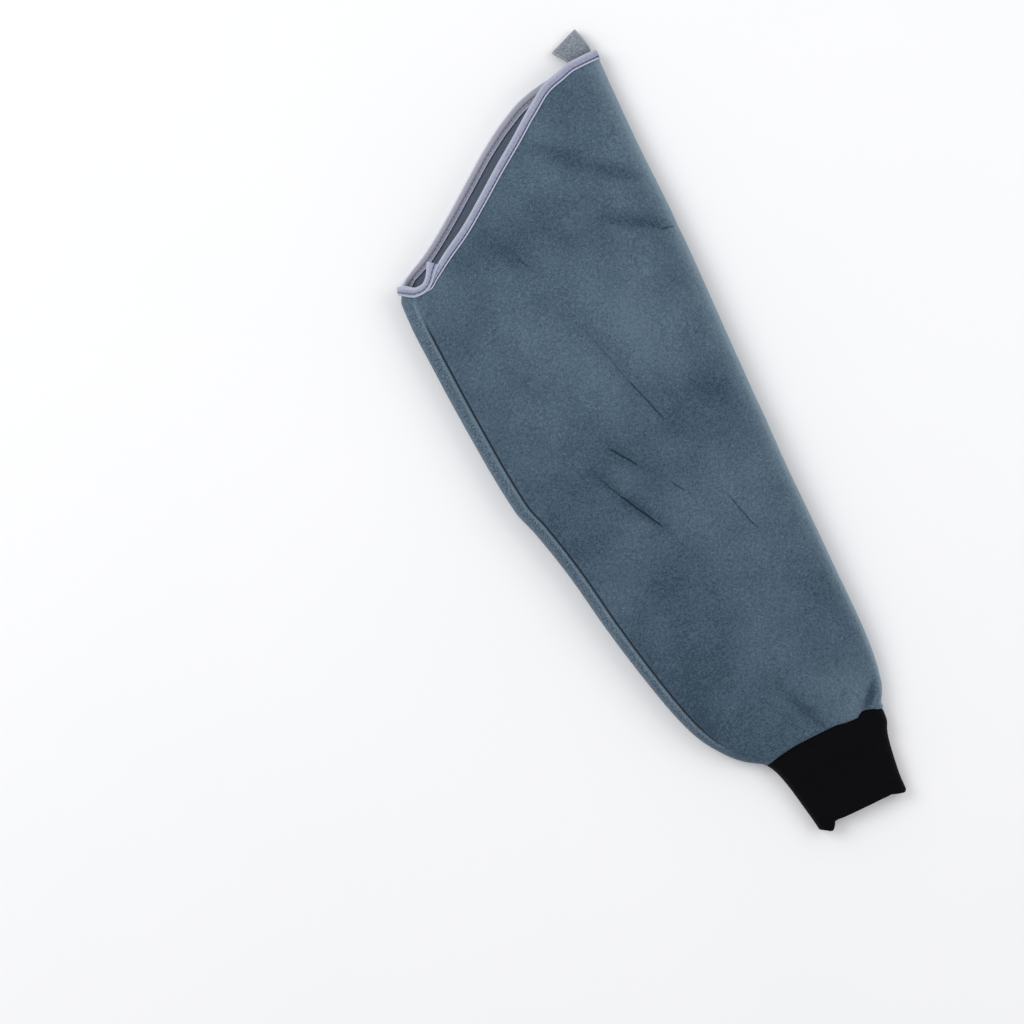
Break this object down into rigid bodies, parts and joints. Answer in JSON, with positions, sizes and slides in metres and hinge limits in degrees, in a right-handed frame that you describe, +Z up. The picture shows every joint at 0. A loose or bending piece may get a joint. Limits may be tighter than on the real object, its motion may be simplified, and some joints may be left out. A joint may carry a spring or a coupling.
{
  "type": "welding sleeve",
  "caption": "Split-leather welding sleeve lying flat: a tapered hollow arm tube with a slanted taped mouth, a small hanging loop and a rib-knit wrist cuff.",
  "frame": {"origin": "under the middle of the sleeve's outline, on the plane that it lies on", "axes": "+Y along the arm from the cuff to the mouth, +X across it from the sewn seam to the fold, +Z up through the front face"},
  "size_m": [0.2062, 0.5814, 0.0309],
  "materials": {
    "suede": "napped split suede, slate blue",
    "tape": "woven twill tape, matt",
    "loop_leather": "grey split leather, matt",
    "rib_knit": "fine rib knit, black"
  },
  "bodies": {
    "root": {"leather_sleeve": "suede", "mouth_binding": "tape", "binding_lap": "tape", "hang_loop": "loop_leather", "knit_cuff": "rib_knit"}
  },
  "joints": []
}
